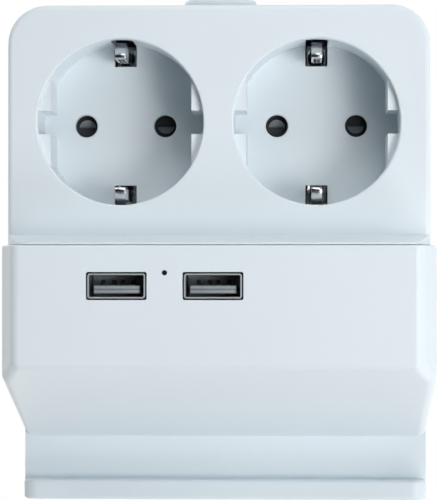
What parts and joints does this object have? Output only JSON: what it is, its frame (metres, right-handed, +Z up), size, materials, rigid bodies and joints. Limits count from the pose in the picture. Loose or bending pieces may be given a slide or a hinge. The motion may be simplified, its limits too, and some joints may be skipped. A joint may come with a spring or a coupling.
{
  "type": "desktop extension lead block",
  "caption": "Desktop extension lead block with round earthed sockets on top, a raised front with USB charging ports, and a sloped front with a phone groove.",
  "frame": {"origin": "centre of the overall box, on the surface that the feet stand on", "axes": "+Z up, +Y from the phone groove to the cord gland, +X to the right seen from the front"},
  "size_m": [0.1014, 0.1222, 0.066],
  "materials": {
    "white_body": "fine satin moulded finish",
    "white_socket": "satin moulded finish",
    "shutter_grey": "plain moulded finish",
    "clip_metal": "nickel plated",
    "brass": "rolled strip",
    "tongue_plastic": "plain moulded finish",
    "inner_plastic": "plain moulded finish",
    "dark_plastic": "plain moulded finish",
    "board": "lacquered circuit board",
    "lamp": "clear moulded plastic",
    "screw_steel": "zinc plated",
    "rubber": "soft matt rubber"
  },
  "bodies": {
    "root": {"front_cover": "white_body", "rear_cover": "white_body", "base_plate": "white_body", "contact_carrier": "inner_plastic", "earth_link": "clip_metal", "live_busbar": "brass", "neutral_busbar": "brass", "charger_board": "board", "transformer": "dark_plastic", "capacitors": "dark_plastic", "indicator_led": "lamp", "light_pipe": "lamp", "cord_gland": "white_body", "cord_clamp": "inner_plastic", "housing_screws": "screw_steel", "carrier_screws": "screw_steel", "board_screws": "screw_steel", "clamp_screws": "screw_steel", "socket_insert_left": "white_socket", "shutter_spring_left": "screw_steel", "shutter_retainer_left": "screw_steel", "earth_clip_left": "clip_metal", "usb_shell_left": "clip_metal", "usb_tongue_left": "tongue_plastic", "usb_contacts_left": "clip_metal", "socket_insert_right": "white_socket", "shutter_spring_right": "screw_steel", "shutter_retainer_right": "screw_steel", "earth_clip_right": "clip_metal", "usb_shell_right": "clip_metal", "usb_tongue_right": "tongue_plastic", "usb_contacts_right": "clip_metal", "rubber_foot_front_left": "rubber", "rubber_foot_front_right": "rubber", "rubber_foot_rear_left": "rubber", "rubber_foot_rear_right": "rubber"},
    "shutter_left": {"shutter_left": "shutter_grey"},
    "shutter_right": {"shutter_right": "shutter_grey"}
  },
  "joints": [
    {"name": "shutter_turn_left", "type": "hinge", "parent": "root", "child": "shutter_left", "pos_m": [-0.0229, 0.03113, 0.032], "axis": [0, 0, -1], "range_deg": [0, 40], "stiffness_Nm_per_rad": 0.0006, "springref_deg": -17.19, "deforming": ["shutter_spring_left"]},
    {"name": "shutter_turn_right", "type": "hinge", "parent": "root", "child": "shutter_right", "pos_m": [0.0229, 0.03113, 0.032], "axis": [0, 0, -1], "range_deg": [0, 40], "stiffness_Nm_per_rad": 0.0006, "springref_deg": -17.19, "deforming": ["shutter_spring_right"]}
  ]
}
